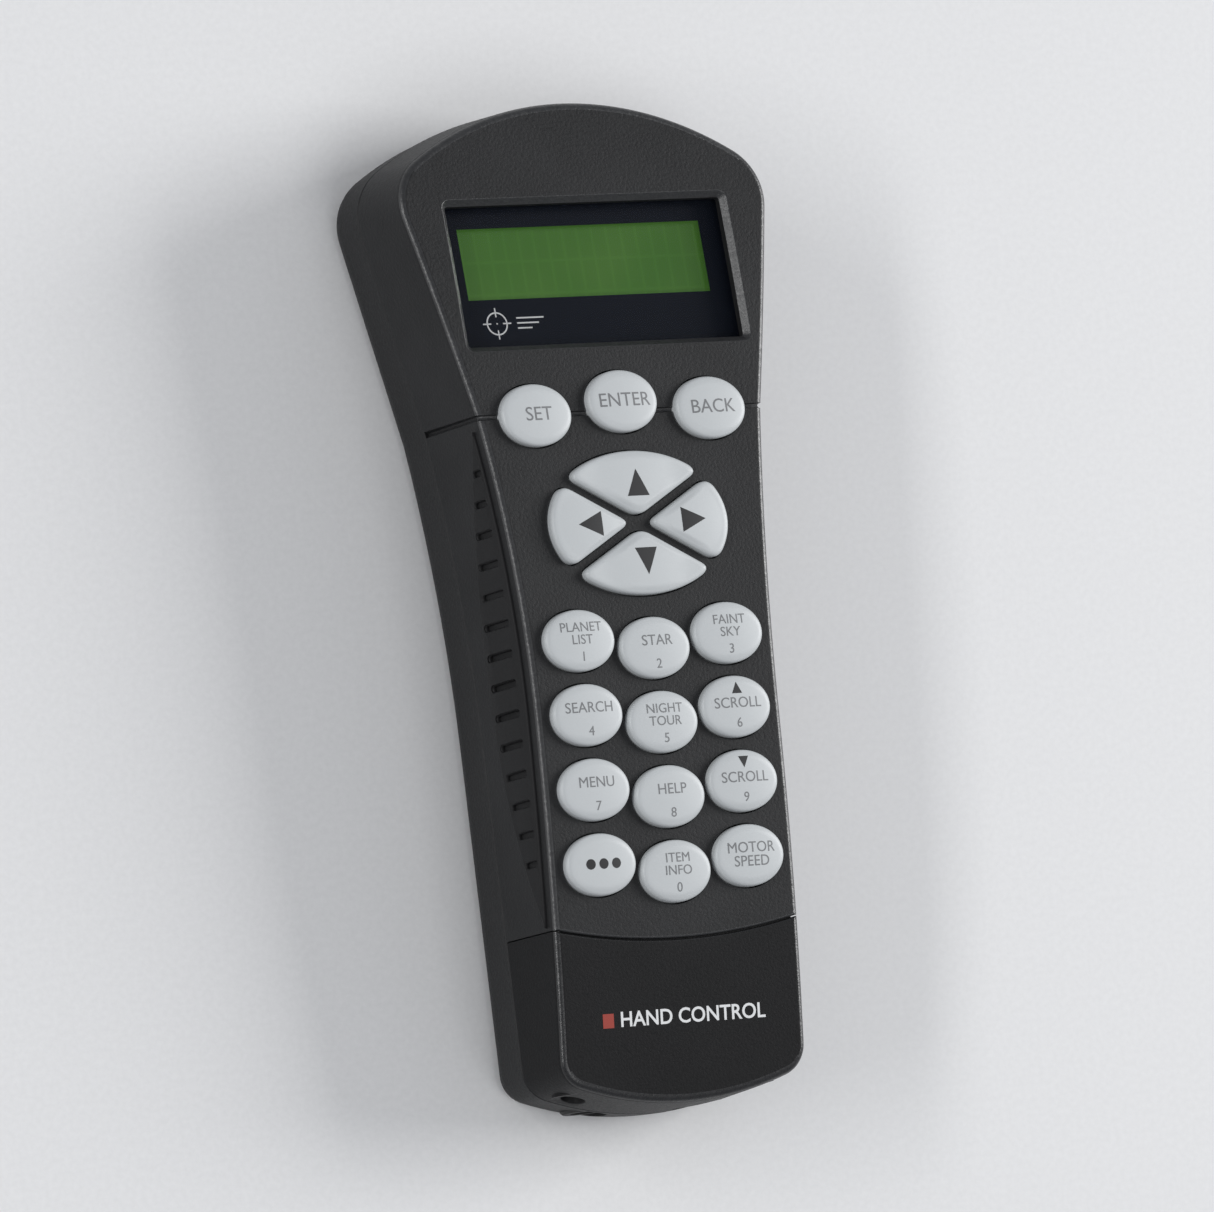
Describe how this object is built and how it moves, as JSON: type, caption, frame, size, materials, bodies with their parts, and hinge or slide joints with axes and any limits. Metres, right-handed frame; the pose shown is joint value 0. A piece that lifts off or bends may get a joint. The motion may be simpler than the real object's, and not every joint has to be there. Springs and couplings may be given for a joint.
{
  "type": "telescope hand controller",
  "caption": "Waisted handheld keypad controller with a domed head, a recessed green display, sprung oval keys, an oval four-way pad and ribbed side grips.",
  "frame": {"origin": "under the middle of the case, on the plane that its back rests on", "axes": "+X to the right as the user faces the keys, +Y towards the display end, +Z out of the face"},
  "size_m": [0.0818, 0.194, 0.035],
  "materials": {
    "shell": "fine spark texture, charcoal",
    "cover": "satin, darker than the shell",
    "rear": "fine spark texture, charcoal",
    "label": "satin foil, blank",
    "grip": "matte",
    "window": "clear, glossy",
    "tape": "foam tape",
    "mask": "printed border, blue-black",
    "bezel": "black",
    "lcd": "green tinted",
    "backlight": "lit diffuser",
    "board": "solder mask",
    "pins": "plated",
    "spacer": "nylon",
    "carbon": "carbon ink",
    "mat": "translucent silicone",
    "chip": "moulded",
    "can": "satin",
    "gland": "matte",
    "jack": "moulded",
    "screw": "zinc plated",
    "key": "satin, light grey-white"
  },
  "bodies": {
    "case": {"front_shell": "shell", "end_cover": "cover", "rear_shell": "rear", "rear_label": "label", "grip_left": "grip", "grip_right": "grip", "display_window": "window", "window_tape": "tape", "window_mask": "mask", "lcd_bezel": "bezel", "lcd_glass": "lcd", "lcd_backlight": "backlight", "lcd_board": "board", "lcd_header": "pins", "lcd_spacers": "spacer", "main_board": "board", "key_contacts": "carbon", "keypad_mat": "mat", "processor": "chip", "memory_chip": "chip", "power_regulator": "chip", "crystal": "can", "capacitors": "can", "cord_header": "spacer", "cord_gland": "gland", "data_jack": "jack", "case_screws": "screw", "board_screws": "screw"},
    "key_align": {"key_align": "key"},
    "key_enter": {"key_enter": "key"},
    "key_back": {"key_back": "key"},
    "key_up": {"key_up": "key"},
    "key_down": {"key_down": "key"},
    "key_left": {"key_left": "key"},
    "key_right": {"key_right": "key"},
    "key_1": {"key_1": "key"},
    "key_2": {"key_2": "key"},
    "key_3": {"key_3": "key"},
    "key_4": {"key_4": "key"},
    "key_5": {"key_5": "key"},
    "key_6": {"key_6": "key"},
    "key_7": {"key_7": "key"},
    "key_8": {"key_8": "key"},
    "key_9": {"key_9": "key"},
    "key_option": {"key_option": "key"},
    "key_0": {"key_0": "key"},
    "key_speed": {"key_speed": "key"}
  },
  "joints": [
    {"name": "key_align_press", "type": "slide", "parent": "case", "child": "key_align", "axis": [0, 0, -1], "range_m": [0, 0.0012], "stiffness_N_per_m": 1000},
    {"name": "key_enter_press", "type": "slide", "parent": "case", "child": "key_enter", "axis": [0, 0, -1], "range_m": [0, 0.0012], "stiffness_N_per_m": 1000},
    {"name": "key_back_press", "type": "slide", "parent": "case", "child": "key_back", "axis": [0, 0, -1], "range_m": [0, 0.0012], "stiffness_N_per_m": 1000},
    {"name": "key_up_press", "type": "slide", "parent": "case", "child": "key_up", "axis": [0, 0, -1], "range_m": [0, 0.0012], "stiffness_N_per_m": 1000},
    {"name": "key_down_press", "type": "slide", "parent": "case", "child": "key_down", "axis": [0, 0, -1], "range_m": [0, 0.0012], "stiffness_N_per_m": 1000},
    {"name": "key_left_press", "type": "slide", "parent": "case", "child": "key_left", "axis": [0, 0, -1], "range_m": [0, 0.0012], "stiffness_N_per_m": 1000},
    {"name": "key_right_press", "type": "slide", "parent": "case", "child": "key_right", "axis": [0, 0, -1], "range_m": [0, 0.0012], "stiffness_N_per_m": 1000},
    {"name": "key_1_press", "type": "slide", "parent": "case", "child": "key_1", "axis": [0, 0, -1], "range_m": [0, 0.0012], "stiffness_N_per_m": 1000},
    {"name": "key_2_press", "type": "slide", "parent": "case", "child": "key_2", "axis": [0, 0, -1], "range_m": [0, 0.0012], "stiffness_N_per_m": 1000},
    {"name": "key_3_press", "type": "slide", "parent": "case", "child": "key_3", "axis": [0, 0, -1], "range_m": [0, 0.0012], "stiffness_N_per_m": 1000},
    {"name": "key_4_press", "type": "slide", "parent": "case", "child": "key_4", "axis": [0, 0, -1], "range_m": [0, 0.0012], "stiffness_N_per_m": 1000},
    {"name": "key_5_press", "type": "slide", "parent": "case", "child": "key_5", "axis": [0, 0, -1], "range_m": [0, 0.0012], "stiffness_N_per_m": 1000},
    {"name": "key_6_press", "type": "slide", "parent": "case", "child": "key_6", "axis": [0, 0, -1], "range_m": [0, 0.0012], "stiffness_N_per_m": 1000},
    {"name": "key_7_press", "type": "slide", "parent": "case", "child": "key_7", "axis": [0, 0, -1], "range_m": [0, 0.0012], "stiffness_N_per_m": 1000},
    {"name": "key_8_press", "type": "slide", "parent": "case", "child": "key_8", "axis": [0, 0, -1], "range_m": [0, 0.0012], "stiffness_N_per_m": 1000},
    {"name": "key_9_press", "type": "slide", "parent": "case", "child": "key_9", "axis": [0, 0, -1], "range_m": [0, 0.0012], "stiffness_N_per_m": 1000},
    {"name": "key_option_press", "type": "slide", "parent": "case", "child": "key_option", "axis": [0, 0, -1], "range_m": [0, 0.0012], "stiffness_N_per_m": 1000},
    {"name": "key_0_press", "type": "slide", "parent": "case", "child": "key_0", "axis": [0, 0, -1], "range_m": [0, 0.0012], "stiffness_N_per_m": 1000},
    {"name": "key_speed_press", "type": "slide", "parent": "case", "child": "key_speed", "axis": [0, 0, -1], "range_m": [0, 0.0012], "stiffness_N_per_m": 1000}
  ]
}
